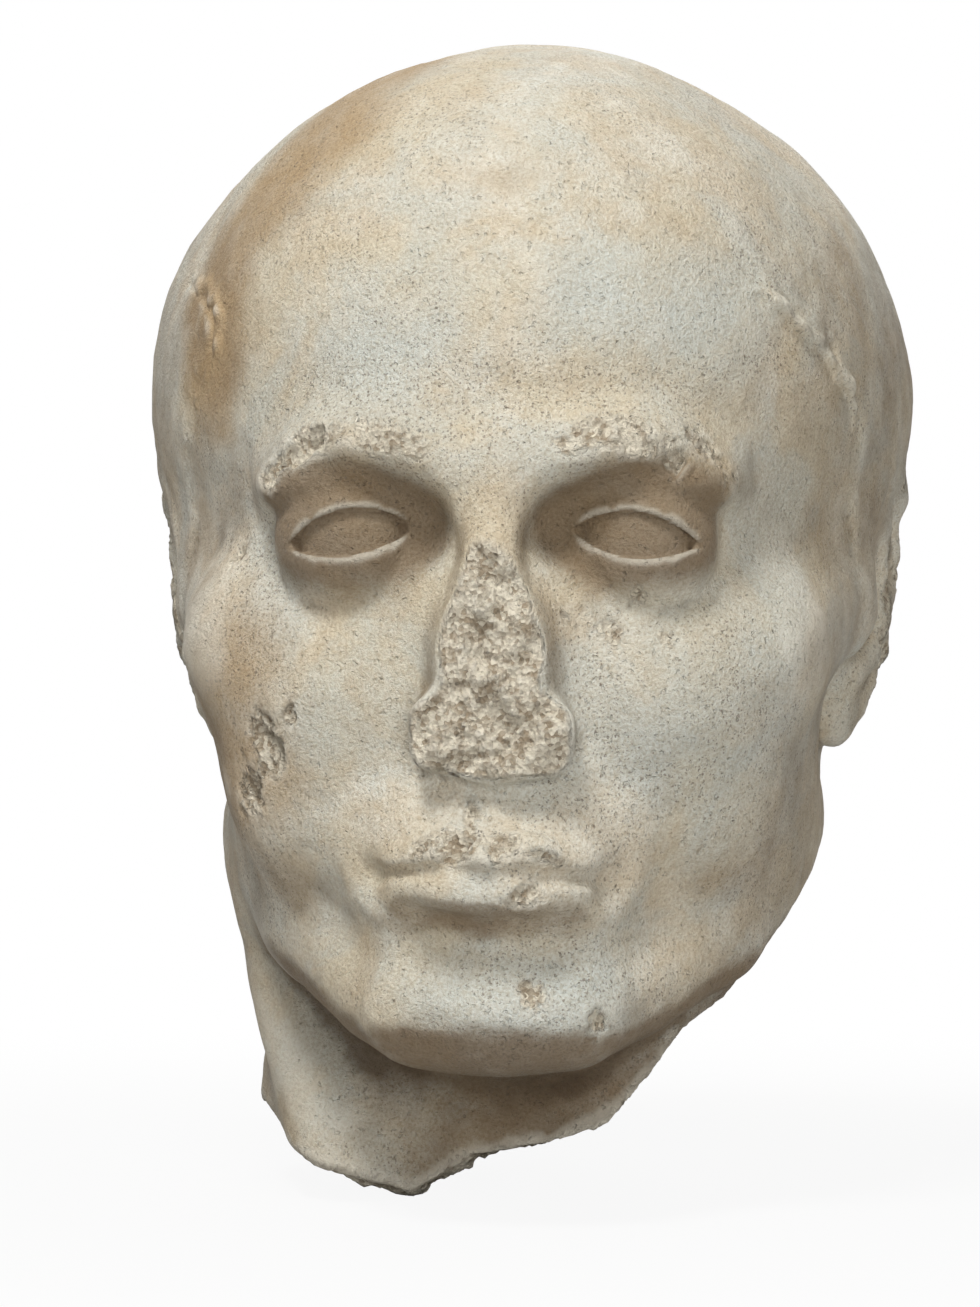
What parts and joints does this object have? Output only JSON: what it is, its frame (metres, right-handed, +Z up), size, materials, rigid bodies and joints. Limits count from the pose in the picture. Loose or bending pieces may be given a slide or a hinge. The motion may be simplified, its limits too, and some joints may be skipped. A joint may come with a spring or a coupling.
{
  "type": "marble portrait head",
  "caption": "Life-size head of a bald man carved from one block of marble, broken off at the neck and nose, with a steel sleeve in the break for a display rod.",
  "frame": {"origin": "centre of the steel sleeve's open mouth, on the head's mid-plane, where the display rod enters", "axes": "+Z up along the sleeve towards the crown, -Y the way the face looks, +X the head's left"},
  "size_m": [0.1916, 0.2259, 0.2845],
  "materials": {
    "marble": "weathered cream marble, worn smooth, with coarse crystalline breaks",
    "resin": "cast filled polyester resin, matt",
    "steel": "drawn stainless steel tube, satin",
    "steel_cap": "pressed stainless steel, satin"
  },
  "bodies": {
    "root": {"marble_head": "marble", "resin_bed": "resin", "socket_tube": "steel", "end_cap": "steel_cap"}
  },
  "joints": []
}
